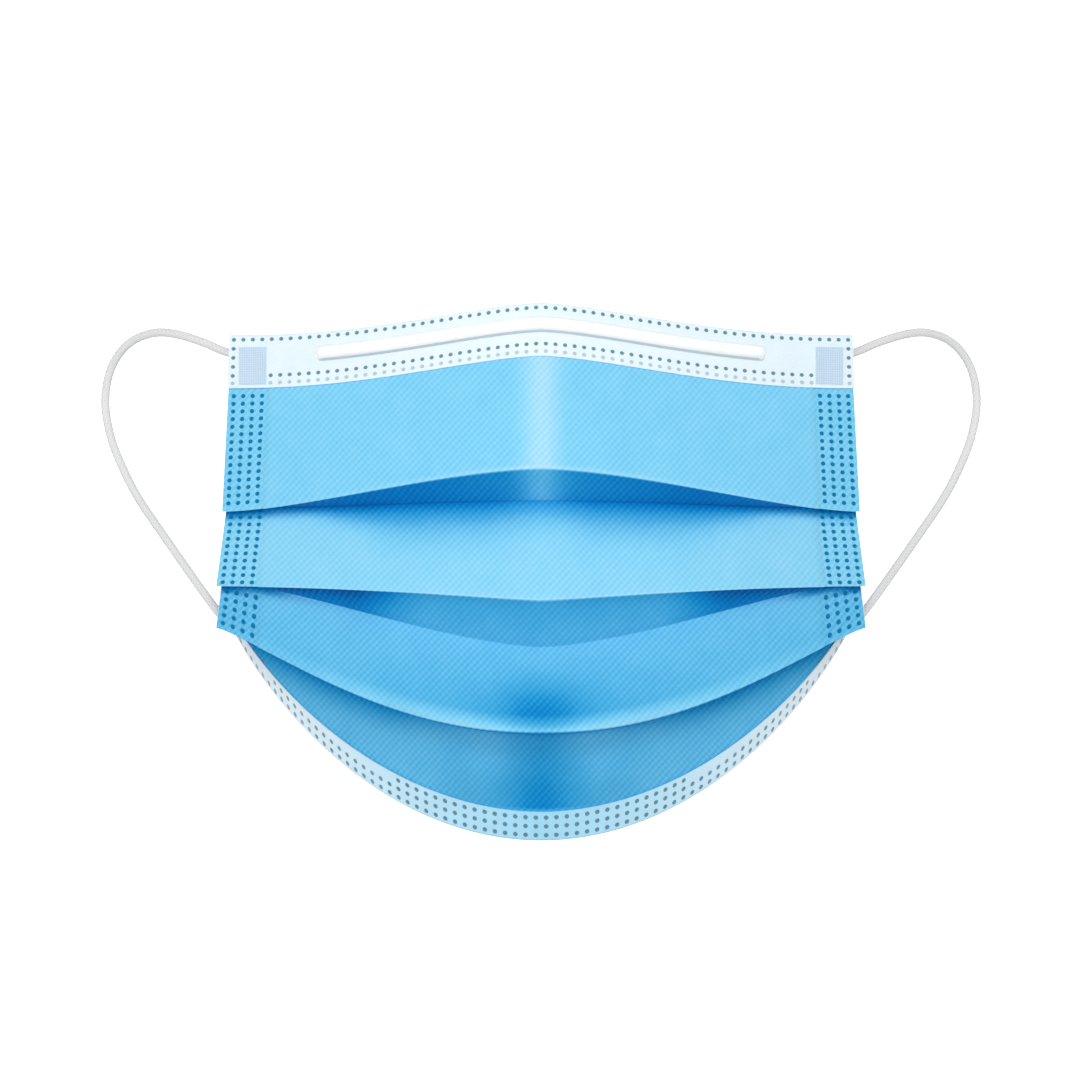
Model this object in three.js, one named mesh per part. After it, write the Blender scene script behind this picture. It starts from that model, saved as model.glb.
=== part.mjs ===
// Pleated surgical face mask, held in its worn, opened form.
// Millimetres, +Z up, +X to the viewer's right, the outside of the mask faces -Y.
// The origin is the nose seat: the inner face of the top binding at its centre.
import * as THREE from 'three';

// Driving dimensions of the sheet
const halfWidth = 82.5;          // seen from the front, at the lower corners
const centreHeight = 135.8;      // seen from the front, top edge to bottom edge at the centre
const sideHeight = 74.3;         // seen from the front, top corner to lower corner
const topRise = 8.1;             // the top edge's centre above its corners
const seatDrop = 5.8;            // the nose seat below the top edge at the centre
const frontDepth = 22;           // how far the lowest fold stands in front of the top edge
const sideSweep = 29;            // how far the top corners lie behind the top edge's centre
const sideLean = 19;             // how far the lower corners lie in front of the top corners
const sheetWall = 1;             // thickness of the pleated sheet
const bindingWall = 1;           // thickness of the folded white bindings
const clearance = 0.3;           // between two pieces that touch
const layerPitch = 1.8;          // from one pressed layer of a pleat to the next, front to back
const foldTurn = 0.8;            // rounding of a fold where the pleat stands open

// Driving dimensions of what the sheet carries
const topHem = 13.5;             // height of the top binding
const bottomHem = 6.9;           // height of the bottom binding at the centre
const stripLength = 114;
const stripHeight = 3.2;
const stripThickness = 1.2;
const stripDrop = 5.2;           // the strip's middle below the top edge
const padWidth = 6.9;
const padHeight = 9.4;
const padThickness = 1;
const padInset = 1.9;            // from the binding's end to the weld pad
const padDrop = 3.2;             // from the top edge to the weld pad
const loopDiameter = 2.2;

const sheetBlue = new THREE.Color(0.29, 0.66, 0.9);
const bindingWhite = new THREE.Color(0.9, 0.94, 0.97);
const stripWhite = new THREE.Color(0.97, 0.98, 0.99);
const padBlue = new THREE.Color(0.72, 0.81, 0.9);
const loopGrey = new THREE.Color(0.85, 0.85, 0.85);

// The crosswise lines of the sheet, from its top edge to its bottom edge.
// centre, side: drop below the top edge there, as shares of centreHeight and of sideHeight
// hang: a hem's own height, added to the drop
// bow, ease: how the line bends from centre to side; flat: where it reaches its side height
// out: distance in front of the top edge, as a share of frontDepth; curl: how it bends back to the side
// width: half width as a share of halfWidth; layers: pressed layers that lie in front of it at the side
// turn: layers that the sheet moves back at this line; crown: bulge of the panel below, share of frontDepth
// steps: rows of facets in the panel below
const lines = [
  { name: 'top edge', centre: 0, side: 0, hang: 0, bow: 1.45, ease: 2.5, flat: 1,
    out: 0, curl: 1.55, width: 0.95, layers: 0, turn: 0, crown: 0, steps: 2 },
  { name: 'top hem', centre: 0, side: 0, hang: topHem, bow: 1.5, ease: 2.5, flat: 1,
    out: 0.19, curl: 1.6, width: 0.96, layers: 0, turn: 0, crown: 0.07, steps: 4 },
  { name: 'fold 1', centre: 0.308, side: 0.602, hang: 0, bow: 1.6, ease: 1.6, flat: 1,
    out: 0.66, curl: 1.75, width: 0.982, layers: 0, turn: 1, crown: 0, steps: 1 },
  { name: 'valley 1', centre: 0.366, side: 0.44, hang: 0, bow: 1.8, ease: 1, flat: 0.88,
    out: 0.33, curl: 1.75, width: 0.978, layers: 1, turn: 1, crown: 0.09, steps: 4 },
  { name: 'fold 2', centre: 0.554, side: 0.857, hang: 0, bow: 1.2, ease: 2, flat: 1,
    out: 0.91, curl: 1.85, width: 1, layers: 2, turn: 1, crown: 0, steps: 1 },
  { name: 'valley 2', centre: 0.639, side: 0.713, hang: 0, bow: 1.4, ease: 0.85, flat: 0.88,
    out: 0.62, curl: 1.85, width: 0.993, layers: 3, turn: 1, crown: 0.08, steps: 4 },
  { name: 'fold 3', centre: 0.8, side: 1, hang: 0, bow: 2.1, ease: 1.25, flat: 1,
    out: 1, curl: 1.9, width: 1, layers: 4, turn: 1, crown: 0, steps: 1 },
  { name: 'valley 3', centre: 0.788, side: 0.837, hang: 0, bow: 2.1, ease: 1.25, flat: 1,
    out: 0.66, curl: 1.9, width: 0.985, layers: 5, turn: 2, crown: 0.06, steps: 4 },
  { name: 'bottom hem', centre: 1, side: 0.875, hang: -bottomHem, bow: 1.95, ease: 0.78, flat: 1,
    out: 0.3, curl: 1.9, width: 0.98, layers: 7, turn: 0, crown: 0, steps: 2 },
  { name: 'bottom edge', centre: 1, side: 0.918, hang: 0, bow: 2, ease: 0.75, flat: 1,
    out: 0.16, curl: 1.9, width: 0.975, layers: 9, turn: 0, crown: 0, steps: 0 },
];
const topEdge = 0;
const bottomHemLine = lines.length - 2;

// From the middle of the sheet to the free face of a binding
const bindingReach = sheetWall / 2 + clearance + bindingWall;

// The top binding leans forward; this brings its inner face to the nose seat.
const seatSlope = lines[topEdge + 1].out * frontDepth / topHem;
const seatShift = seatSlope * seatDrop - bindingReach * Math.hypot(1, seatSlope);

const mix = (a, b, share) => a + (b - a) * share;

// A point of one crosswise line; across runs from -1 at the left side to 1 at the right side.
// A line where the sheet turns has a second point, farther back, for the layer after the turn.
function linePoint(line, across, isAfterTurn) {
  const reach = Math.abs(across);
  const bend = 1 - (1 - Math.min(reach / line.flat, 1) ** line.bow) ** line.ease;
  const turned = isAfterTurn ? 1 : 0;
  const openTurn = turned * Math.min(line.turn, 1) * foldTurn;
  const centreDrop = line.centre * centreHeight + line.hang + openTurn;
  const sideDrop = line.side * sideHeight + Math.max(line.hang, 0);
  const centreBack = openTurn - line.out * frontDepth;
  const lean = sideLean * sideDrop / sideHeight;
  const sideBack = sideSweep - lean + layerPitch * (line.layers + turned * line.turn);
  return new THREE.Vector3(
    halfWidth * line.width * across,
    mix(centreBack, sideBack, reach ** line.curl) + seatShift,
    seatDrop - mix(centreDrop, topRise + sideDrop, bend),
  );
}

// A point of the sheet between line index and the next one, at a share of the way down.
function sheetPoint(index, share, across) {
  const upper = lines[index];
  const start = linePoint(upper, across, upper.turn > 0);
  if (share === 0) {
    return start;
  }
  const end = linePoint(lines[index + 1], across, false);
  const bulge = 4 * share * (1 - share) * upper.crown * frontDepth * (1 - across * across);
  const point = start.lerp(end, share);
  point.y -= bulge;
  return point;
}

// The sheet's rows from one place to another, each a function of across, top to bottom.
function rowsBetween(firstIndex, firstShare, lastIndex, lastShare) {
  const rows = [];
  for (let index = firstIndex; index <= lastIndex; index += 1) {
    const line = lines[index];
    if (line.turn > 0) {
      rows.push((across) => linePoint(line, across, false));
    }
    for (let step = 0; step < line.steps; step += 1) {
      const share = step / line.steps;
      const isInside = (index > firstIndex || share > firstShare)
        && (index < lastIndex || share < lastShare);
      if (isInside) {
        rows.push((across) => sheetPoint(index, share, across));
      }
    }
  }
  rows.unshift((across) => sheetPoint(firstIndex, firstShare, across));
  rows.push((across) => sheetPoint(lastIndex, lastShare, across));
  return rows;
}

// Even stations across the sheet.
function stationsAcross(from, to, count) {
  return Array.from({ length: count + 1 }, (_, step) => mix(from, to, step / count));
}

// The outward normal on both sides of each grid point, mitred where the sheet folds.
function mitredNormals(grid) {
  const rowCount = grid.length;
  const stationCount = grid[0].length;
  const cellNormal = (row, station) => {
    const down = grid[row + 1][station].clone().add(grid[row + 1][station + 1])
      .sub(grid[row][station]).sub(grid[row][station + 1]);
    const right = grid[row][station + 1].clone().add(grid[row + 1][station + 1])
      .sub(grid[row][station]).sub(grid[row + 1][station]);
    return down.cross(right).normalize();
  };
  const stripNormal = (row, station) => {
    const sum = new THREE.Vector3();
    for (const side of [station - 1, station]) {
      if (side >= 0 && side < stationCount - 1) {
        sum.add(cellNormal(row, side));
      }
    }
    return sum.normalize();
  };
  return grid.map((points, row) => points.map((_, station) => {
    const above = stripNormal(Math.max(row - 1, 0), station);
    const below = stripNormal(Math.min(row, rowCount - 2), station);
    return above.clone().add(below).divideScalar(Math.max(1 + above.dot(below), 0.4));
  }));
}

// A closed solid from loops of points: each loop joins the next, and the first and last are capped.
// A cap is a strip between the two halves of its loop, so it follows a long thin section.
function loftLoops(loops) {
  const size = loops[0].length;
  const positions = loops.flat().flatMap((point) => [point.x, point.y, point.z]);
  const indices = [];
  for (let loop = 0; loop < loops.length - 1; loop += 1) {
    for (let corner = 0; corner < size; corner += 1) {
      const next = (corner + 1) % size;
      const a = loop * size + corner;
      const b = loop * size + next;
      indices.push(a, b, b + size, a, b + size, a + size);
    }
  }
  const capLoop = (base, isLast) => {
    for (let step = 0; step < size / 2 - 1; step += 1) {
      const a = base + step;
      const b = base + step + 1;
      const c = base + size - 2 - step;
      const d = base + size - 1 - step;
      const quad = [a, b, c, a, c, d];
      indices.push(...(isLast ? quad : quad.reverse()));
    }
  };
  capLoop(0, false);
  capLoop((loops.length - 1) * size, true);
  const geometry = new THREE.BufferGeometry();
  geometry.setAttribute('position', new THREE.Float32BufferAttribute(positions, 3));
  geometry.setIndex(indices);
  geometry.computeVertexNormals();
  return geometry;
}

// A closed solid that follows the sheet's rows between two distances from its middle.
function layerSolid(rows, stations, inner, outer) {
  const grid = rows.map((row) => stations.map(row));
  const normals = mitredNormals(grid);
  const offset = (row, station, distance) => grid[row][station].clone()
    .addScaledVector(normals[row][station], distance);
  const loops = stations.map((_, station) => {
    const front = rows.map((__, row) => offset(row, station, outer));
    const back = rows.map((__, row) => offset(row, station, inner));
    return [...front, ...back.reverse()];
  });
  return loftLoops(loops);
}

// A folded binding: a U section whose two legs lie on both sides of the sheet's edge.
// legRows run from the free end of the legs to the inside of the fold, edgeRow is the fold itself.
function bindingSolid(legRows, edgeRow, stations) {
  const rows = [...legRows, edgeRow];
  const grid = rows.map((row) => stations.map(row));
  const normals = mitredNormals(grid);
  const isUpward = grid[0][0].z < grid[grid.length - 1][0].z;
  const near = sheetWall / 2 + clearance;
  const far = bindingReach;
  const offset = (row, station, distance) => grid[row][station].clone()
    .addScaledVector(normals[row][station], isUpward ? -distance : distance);
  const last = rows.length - 1;
  const loops = stations.map((_, station) => {
    const outside = [];
    const inside = [];
    for (let row = 0; row <= last; row += 1) {
      outside.push(offset(row, station, far));
    }
    for (let row = last; row >= 0; row -= 1) {
      outside.push(offset(row, station, -far));
    }
    for (let row = 0; row < last; row += 1) {
      inside.push(offset(row, station, -near));
    }
    inside.push(offset(last - 1, station, -near).lerp(offset(last - 1, station, near), 0.25));
    inside.push(offset(last - 1, station, near).lerp(offset(last - 1, station, -near), 0.25));
    for (let row = last - 1; row >= 0; row -= 1) {
      inside.push(offset(row, station, near));
    }
    return [...outside, ...inside];
  });
  return loftLoops(isUpward ? loops.map((loop) => loop.reverse()) : loops);
}

const acrossCount = 36;
const allAcross = stationsAcross(-1, 1, acrossCount);
const hemInside = bindingWall / topHem;
const sheetTop = (bindingWall + clearance) / topHem;
const bottomInside = 1 - bindingWall / bottomHem;
const sheetBottom = 1 - (bindingWall + clearance) / bottomHem;

function maskSheet() {
  const rows = rowsBetween(topEdge, sheetTop, bottomHemLine, sheetBottom);
  return layerSolid(rows, allAcross, -sheetWall / 2, sheetWall / 2);
}

function topBinding() {
  const legRows = [1, 0.5, hemInside].map((share) => (across) => sheetPoint(topEdge, share, across));
  return bindingSolid(legRows, (across) => sheetPoint(topEdge, 0, across), allAcross);
}

function bottomBinding() {
  const legRows = [0, 0.5, bottomInside]
    .map((share) => (across) => sheetPoint(bottomHemLine, share, across));
  return bindingSolid(legRows, (across) => sheetPoint(bottomHemLine, 1, across), allAcross);
}

// The nose strip lies on the front of the top binding and has round ends.
function noseStrip() {
  const end = stripLength / 2 / (halfWidth * lines[topEdge].width);
  const roundLength = stripHeight / 2 / (halfWidth * lines[topEdge].width);
  const roundSteps = [0, 0.15, 0.5, 1].map((share) => share * roundLength);
  const stations = [
    ...roundSteps.map((step) => step - end),
    ...allAcross.filter((across) => Math.abs(across) < end - roundLength),
    ...roundSteps.map((step) => end - step).reverse(),
  ];
  const halfShare = (across) => {
    const past = Math.max(Math.abs(across) - (end - roundLength), 0) / roundLength;
    return Math.sqrt(Math.max(1 - past * past, 0.04)) * stripHeight / 2 / topHem;
  };
  const rows = [-1, 0, 1].map((side) => (across) => (
    sheetPoint(topEdge, stripDrop / topHem + side * halfShare(across), across)));
  const inner = bindingReach + clearance;
  return layerSolid(rows, stations, inner, inner + stripThickness);
}

// The square weld pad on the front of the top binding, near its end.
function weldPad(side) {
  const reach = halfWidth * lines[topEdge].width;
  const outerEdge = 1 - padInset / reach;
  const innerEdge = outerEdge - padWidth / reach;
  const ends = side > 0 ? [innerEdge, outerEdge] : [-outerEdge, -innerEdge];
  const stations = stationsAcross(ends[0], ends[1], 3);
  const rows = [0, 0.5, 1].map((share) => (across) => (
    sheetPoint(topEdge, (padDrop + share * padHeight) / topHem, across)));
  const inner = bindingReach + clearance;
  return layerSolid(rows, stations, inner, inner + padThickness);
}

// The left ear loop from its hidden upper end behind the top binding to its lower end.
const loopRoute = [
  [-72.4, 28.3, -8.6],
  [-76.2, 31.9, -7.6],
  [-80.6, 36.1, -6.3],
  [-86.3, 41.1, -3.9],
  [-93.4, 47.9, -1.8],
  [-98.4, 52.9, -1.5],
  [-103.8, 58.3, -3.3],
  [-107.6, 62.1, -6.8],
  [-110.2, 64.9, -12],
  [-111.2, 65.9, -19.3],
  [-109.8, 64.1, -27.9],
  [-106.3, 59.7, -36.8],
  [-102.8, 54.7, -43.4],
  [-96.4, 45.3, -52.8],
  [-89.9, 35.3, -62],
  [-85, 27.5, -68.8],
  [-81.6, 22.9, -73.2],
  [-79.4, 20.6, -75.4],
];
const loopSides = 8;
const loopSteps = 52;

function earLoop(side) {
  const points = loopRoute.map(([x, y, z]) => new THREE.Vector3(-side * x, y, z));
  const route = new THREE.CatmullRomCurve3(points, false, 'centripetal');
  const section = new THREE.Shape();
  for (let corner = 0; corner < loopSides; corner += 1) {
    const angle = (corner + 0.5) / loopSides * 2 * Math.PI;
    const x = Math.cos(angle) * loopDiameter / 2;
    const y = Math.sin(angle) * loopDiameter / 2;
    if (corner === 0) {
      section.moveTo(x, y);
    } else {
      section.lineTo(x, y);
    }
  }
  section.closePath();
  return new THREE.ExtrudeGeometry(section, { steps: loopSteps, extrudePath: route, bevelEnabled: false });
}

function piece(name, geometry, color, roughness) {
  const material = new THREE.MeshStandardMaterial({ color, roughness, metalness: 0 });
  const mesh = new THREE.Mesh(geometry, material);
  mesh.name = name;
  return mesh;
}

const mask = new THREE.Group();
mask.add(
  piece('mask_sheet', maskSheet(), sheetBlue, 0.75),
  piece('top_binding', topBinding(), bindingWhite, 0.8),
  piece('bottom_binding', bottomBinding(), bindingWhite, 0.8),
  piece('nose_strip', noseStrip(), stripWhite, 0.5),
  piece('weld_pad_left', weldPad(-1), padBlue, 0.45),
  piece('weld_pad_right', weldPad(1), padBlue, 0.45),
  piece('ear_loop_left', earLoop(-1), loopGrey, 0.85),
  piece('ear_loop_right', earLoop(1), loopGrey, 0.85),
);

export default mask;
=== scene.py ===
import math
import bmesh
import bpy
import numpy as np
from mathutils import Matrix, Vector, noise


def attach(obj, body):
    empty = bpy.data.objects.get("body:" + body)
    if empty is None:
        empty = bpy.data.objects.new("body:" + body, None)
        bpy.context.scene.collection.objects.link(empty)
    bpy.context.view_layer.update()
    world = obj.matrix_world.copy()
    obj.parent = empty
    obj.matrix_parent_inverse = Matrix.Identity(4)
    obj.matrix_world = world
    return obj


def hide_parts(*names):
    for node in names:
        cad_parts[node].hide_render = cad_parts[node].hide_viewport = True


mm = 0.001

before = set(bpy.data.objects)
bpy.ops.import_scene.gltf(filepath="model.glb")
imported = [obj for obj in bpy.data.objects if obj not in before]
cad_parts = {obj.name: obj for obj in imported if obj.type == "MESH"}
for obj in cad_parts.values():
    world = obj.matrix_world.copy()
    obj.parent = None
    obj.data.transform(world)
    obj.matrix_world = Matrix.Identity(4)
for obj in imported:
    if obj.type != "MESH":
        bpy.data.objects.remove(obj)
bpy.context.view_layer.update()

# Camera: far in front with a long lens, so that the mask is seen as in the photograph.
cameraView = {
    "pixelsPerMm": 3.94,
    "imagePixels": 1080,
    "originPixel": (541, 326),   # where the nose seat is seen
    "distance": 12.0,
    "farthest": 30.0,            # beyond it nothing is drawn
    "sensor": 36.0,
}


def addCamera(view):
    centre = view["imagePixels"] / 2
    x = (centre - view["originPixel"][0]) / view["pixelsPerMm"] * mm
    z = (view["originPixel"][1] - centre) / view["pixelsPerMm"] * mm
    seenWidth = view["imagePixels"] / view["pixelsPerMm"] * mm
    data = bpy.data.cameras.new("camera")
    data.sensor_width = view["sensor"]
    data.lens = view["sensor"] * view["distance"] / seenWidth
    data.clip_end = view["farthest"]
    camera = bpy.data.objects.new("camera", data)
    camera.location = (x, -view["distance"], z)
    camera.rotation_euler = (math.pi / 2, 0, 0)
    bpy.context.scene.collection.objects.link(camera)
    bpy.context.scene.camera = camera


addCamera(cameraView)
print("camera placed")


# A colour as seen on a screen, red, green and blue from 0 to 255, in Blender's linear values.
def screenColour(red, green, blue):
    shares = [value / 255 for value in (red, green, blue)]
    return tuple(s / 12.92 if s <= 0.04045 else ((s + 0.055) / 1.055) ** 2.4 for s in shares)


def newMaterial(name, surface):
    material = bpy.data.materials.new(name)
    material.use_nodes = True
    shader = material.node_tree.nodes["Principled BSDF"]
    for key, value in surface.items():
        shader.inputs[key].default_value = value
    return material, material.node_tree, shader


def addNode(tree, kind, **settings):
    node = tree.nodes.new(kind)
    for key, value in settings.items():
        setattr(node, key, value)
    return node


# A math node; each operand is a number or another node's output.
def addMath(tree, operation, *operands, clamp=False):
    node = addNode(tree, "ShaderNodeMath", operation=operation, use_clamp=clamp)
    for target, value in zip(node.inputs, operands):
        if isinstance(value, (int, float)):
            target.default_value = value
        else:
            tree.links.new(value, target)
    return node.outputs[0]


# Two colours mixed by a factor; a colour is three numbers or another node's output.
def addMix(tree, factor, first, second):
    node = addNode(tree, "ShaderNodeMix", data_type="RGBA")
    for name, value in (("Factor", factor), ("A", first), ("B", second)):
        target = [s for s in node.inputs if s.name == name and s.enabled][0]
        if isinstance(value, tuple):
            target.default_value = (*value, 1)
        else:
            tree.links.new(value, target)
    return [s for s in node.outputs if s.enabled][0]


def addRamp(tree, factor, stops):
    node = addNode(tree, "ShaderNodeValToRGB")
    elements = node.color_ramp.elements
    for place, shade in stops[2:]:
        elements.new(place)
    for element, (place, shade) in zip(elements, stops):
        element.position = place
        element.color = (*screenColour(*shade), 1)
    tree.links.new(factor, node.inputs[0])
    return node.outputs[0]


def addAttribute(tree, name):
    return addNode(tree, "ShaderNodeAttribute", attribute_name=name).outputs["Fac"]


# The flat cloth's own coordinates, in millimetres.
def addFlatPlace(tree):
    flat = addNode(tree, "ShaderNodeUVMap", uv_map="flat").outputs[0]
    inMm = addNode(tree, "ShaderNodeVectorMath", operation="SCALE")
    inMm.inputs["Scale"].default_value = 1 / mm
    tree.links.new(flat, inMm.inputs[0])
    return inMm.outputs[0]


def addNoise(tree, place, scale, detail, roughness=0.5, distortion=0.0):
    node = addNode(tree, "ShaderNodeTexNoise")
    values = {"Scale": scale, "Detail": detail, "Roughness": roughness, "Distortion": distortion}
    for name, value in values.items():
        node.inputs[name].default_value = value
    tree.links.new(place, node.inputs["Vector"])
    return node.outputs["Fac"]


# Nonwoven cloth: fine slanting embossed lines, tangled fibres and a cloudy density.
nonwovenLook = {
    "lines": (("ADD", 1, 0.34), ("SUBTRACT", 1.13, 0.16)),   # slant, closeness and weight
    "waverScale": 0.9,
    "waver": 0.4,              # how far the lines stray, in millimetres
    "cloudScale": 0.11,
    "cloudRoughness": 0.62,
    "fibreSlant": 12,          # degrees
    "fibreStretch": (1.2, 5.5, 1),
    "fibreScale": 0.8,
    "fibreRoughness": 0.7,
    "fibreTangle": 1.4,
}


def makeNonwovenGroup(look):
    group = bpy.data.node_groups.new("nonwovenCloth", "ShaderNodeTree")
    for name in ("Line Pitch", "Line Depth", "Fibre Depth"):
        group.interface.new_socket(name=name, in_out="INPUT", socket_type="NodeSocketFloat")
    for name in ("Lines", "Clouds", "Fibres", "Height"):
        group.interface.new_socket(name=name, in_out="OUTPUT", socket_type="NodeSocketFloat")
    given = group.nodes.new("NodeGroupInput").outputs
    place = addFlatPlace(group)
    parts = addNode(group, "ShaderNodeSeparateXYZ")
    group.links.new(place, parts.inputs[0])
    across, down = parts.outputs[0], parts.outputs[1]
    waver = addMath(group, "MULTIPLY", addNoise(group, place, look["waverScale"], 2), look["waver"])
    waves = []
    for slant, closeness, weight in look["lines"]:
        line = addMath(group, "ADD", addMath(group, slant, across, down), waver)
        turns = addMath(group, "DIVIDE", math.tau * closeness, given["Line Pitch"])
        wave = addMath(group, "SINE", addMath(group, "MULTIPLY", line, turns))
        waves.append(addMath(group, "MULTIPLY", wave, weight))
    lines = addMath(group, "ADD", addMath(group, "ADD", waves[0], waves[1]), 0.5)
    clouds = addNoise(group, place, look["cloudScale"], 4, look["cloudRoughness"])
    stretch = addNode(group, "ShaderNodeMapping")
    stretch.inputs["Rotation"].default_value = (0, 0, math.radians(look["fibreSlant"]))
    stretch.inputs["Scale"].default_value = look["fibreStretch"]
    group.links.new(place, stretch.inputs["Vector"])
    fibres = addNoise(group, stretch.outputs[0], look["fibreScale"], 5, look["fibreRoughness"],
                      look["fibreTangle"])
    height = addMath(group, "ADD", addMath(group, "MULTIPLY", lines, given["Line Depth"]),
                     addMath(group, "MULTIPLY", fibres, given["Fibre Depth"]))
    results = group.nodes.new("NodeGroupOutput").inputs
    for name, value in (("Lines", lines), ("Clouds", clouds), ("Fibres", fibres), ("Height", height)):
        group.links.new(value, results[name])
    return group


nonwoven = makeNonwovenGroup(nonwovenLook)


def addNonwoven(tree, relief):
    node = addNode(tree, "ShaderNodeGroup", node_tree=nonwoven)
    for name, value in relief.items():
        node.inputs[name].default_value = value
    return node.outputs


# A value with the cloth's own patterns added, each about its middle and with its own weight.
def addPatterns(tree, value, cloth, weights):
    for name, weight in weights.items():
        part = addMath(tree, "MULTIPLY", addMath(tree, "SUBTRACT", cloth[name], 0.5), weight)
        value = addMath(tree, "ADD", value, part)
    return value


def addBump(tree, shader, height, strength, distance):
    bump = addNode(tree, "ShaderNodeBump")
    bump.inputs["Strength"].default_value = strength
    bump.inputs["Distance"].default_value = distance * mm
    tree.links.new(height, bump.inputs["Height"])
    tree.links.new(bump.outputs["Normal"], shader.inputs["Normal"])


# A material of nonwoven cloth; addTint gives its colour from the marks its mesh carries, painted shade among
# them, and from the cloth's own patterns.
def makeCloth(name, look, addTint):
    material, tree, shader = newMaterial(name, look["surface"])
    cloth = addNonwoven(tree, look["relief"])
    tree.links.new(addTint(tree, look, cloth), shader.inputs["Base Color"])
    if "smoother" in look:
        smoother = addMath(tree, "MULTIPLY", addAttribute(tree, "pressed"), look["smoother"])
        tree.links.new(addMath(tree, "SUBTRACT", look["surface"]["Roughness"], smoother),
                       shader.inputs["Roughness"])
    addBump(tree, shader, cloth["Height"], *look["bump"])
    return material


# Two screen colours mixed by a mark that the mesh carries.
def addBlend(tree, mark, start, end):
    return addMix(tree, addAttribute(tree, mark), screenColour(*start), screenColour(*end))


def addDots(tree, look, tint):
    return addMix(tree, addAttribute(tree, "pressed"), tint, screenColour(*look["dot"]))


# The sheet's outer cloth. Its shades turn the painted tone into colour, from the painted shade deep in a fold
# to the painted highlight on the ridge.
blueCloth = {
    "shades": [
        (0, (0, 84, 155)), (0.1, (1, 115, 186)), (0.2, (3, 131, 204)), (0.3, (30, 150, 211)),
        (0.5, (74, 175, 226)), (0.75, (127, 210, 246)), (1, (178, 227, 249)),
    ],
    "dot": (4, 124, 172),
    "patterns": {"Lines": 0.15, "Clouds": 0.1, "Fibres": 0.14},
    "relief": {"Line Pitch": 1.86, "Line Depth": 0.6, "Fibre Depth": 0.5},
    "surface": {"Roughness": 0.65, "Specular IOR Level": 0.06, "Sheen Weight": 0.03, "Sheen Roughness": 0.45},
    "smoother": 0.25,      # how much smoother a pressed dot is
    "bump": (0.35, 0.1),   # strength, and depth in millimetres
}


# The sheet's blue: the painted tone of light and shade, with the cloth's patterns, through the ramp, and the
# dots' own colour.
def addBlueTint(tree, look, cloth):
    shade = addPatterns(tree, addAttribute(tree, "tone"), cloth, look["patterns"])
    return addDots(tree, look, addRamp(tree, shade, look["shades"]))


# The bindings' cloth. Its tone runs from white to tinted; on the bottom binding that tone is painted light
# and shade.
bindingCloth = {
    "white": (248, 252, 254),
    "tinted": (122, 216, 251),
    "dot": (98, 142, 160),
    "patterns": {"Lines": 0.03, "Clouds": 0.12, "Fibres": 0.2},
    "relief": {"Line Pitch": 1.1, "Line Depth": 0.1, "Fibre Depth": 0.6},
    "surface": {"Roughness": 0.7, "Specular IOR Level": 0.25, "Sheen Weight": 0.1, "Sheen Roughness": 0.5},
    "bump": (0.35, 0.08),
}
# The lining is white all over but for a faint tint where the sheet's painted tone is light, with its pressed
# dots a little darker.
liningCloth = {
    **bindingCloth,
    "white": (250, 252, 252),
    "tinted": (240, 247, 250),
    "dot": (206, 224, 236),
    "relief": {"Line Pitch": 1.1, "Line Depth": 0.3, "Fibre Depth": 0.6},
}


def addWhiteTint(tree, look, cloth):
    shaded = addNode(tree, "ShaderNodeVectorMath", operation="SCALE")
    tree.links.new(addBlend(tree, "tone", look["white"], look["tinted"]), shaded.inputs[0])
    tree.links.new(addPatterns(tree, 1.0, cloth, look["patterns"]), shaded.inputs["Scale"])
    return addDots(tree, look, shaded.outputs[0])


# The nose strip's cover: white, with a painted shadow line along its lower edge.
stripCover = {
    "white": (252, 254, 255),
    "crease": (176, 192, 200),
    "relief": {"Line Pitch": 1.1, "Line Depth": 0.0, "Fibre Depth": 0.35},
    "surface": {"Roughness": 0.45, "Specular IOR Level": 0.35},
    "bump": (0.15, 0.05),
}


def addStripTint(tree, look, cloth):
    return addBlend(tree, "crease", look["white"], look["crease"])


weldFilm = {
    "shades": [(0.3, (202, 224, 240)), (0.7, (214, 232, 246))],
    "dot": (192, 216, 238),
    "relief": {"Line Pitch": 0.9, "Line Depth": 0.2, "Fibre Depth": 0.3},
    "surface": {"Roughness": 0.4, "Specular IOR Level": 0.4},
    "bump": (0.2, 0.05),
}


def addFilmTint(tree, look, cloth):
    return addDots(tree, look, addRamp(tree, cloth["Clouds"], look["shades"]))


elasticYarn = {
    "shades": [(0, (239, 239, 239)), (1, (196, 196, 198))],
    "fuzzScale": 3.2,
    "fuzz": 0.25,
    # painted shade between the knitted yarns, at full depth
    "valley": 0.5,
    "surface": {"Roughness": 0.8, "Specular IOR Level": 0.2, "Sheen Weight": 0.2, "Sheen Roughness": 0.4},
    "bump": (0.4, 0.08),
}


def makeElasticYarn(look):
    material, tree, shader = newMaterial("elasticYarn", look["surface"])
    fuzz = addNoise(tree, addFlatPlace(tree), look["fuzzScale"], 4)
    # fuzz, and painted shade in the valleys between the yarns
    shade = addMath(tree, "ADD", addMath(tree, "MULTIPLY", fuzz, look["fuzz"]),
                    addMath(tree, "MULTIPLY", addAttribute(tree, "valley"), look["valley"]))
    tree.links.new(addRamp(tree, shade, look["shades"]), shader.inputs["Base Color"])
    addBump(tree, shader, fuzz, *look["bump"])
    return material


sheetBlue = makeCloth("blueCloth", blueCloth, addBlueTint)
liningWhite = makeCloth("liningWhite", liningCloth, addWhiteTint)
bindingWhite = makeCloth("bindingWhite", bindingCloth, addWhiteTint)
stripWhite = makeCloth("stripCover", stripCover, addStripTint)
filmBlue = makeCloth("weldFilm", weldFilm, addFilmTint)
loopGrey = makeElasticYarn(elasticYarn)
print("materials made")


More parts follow.
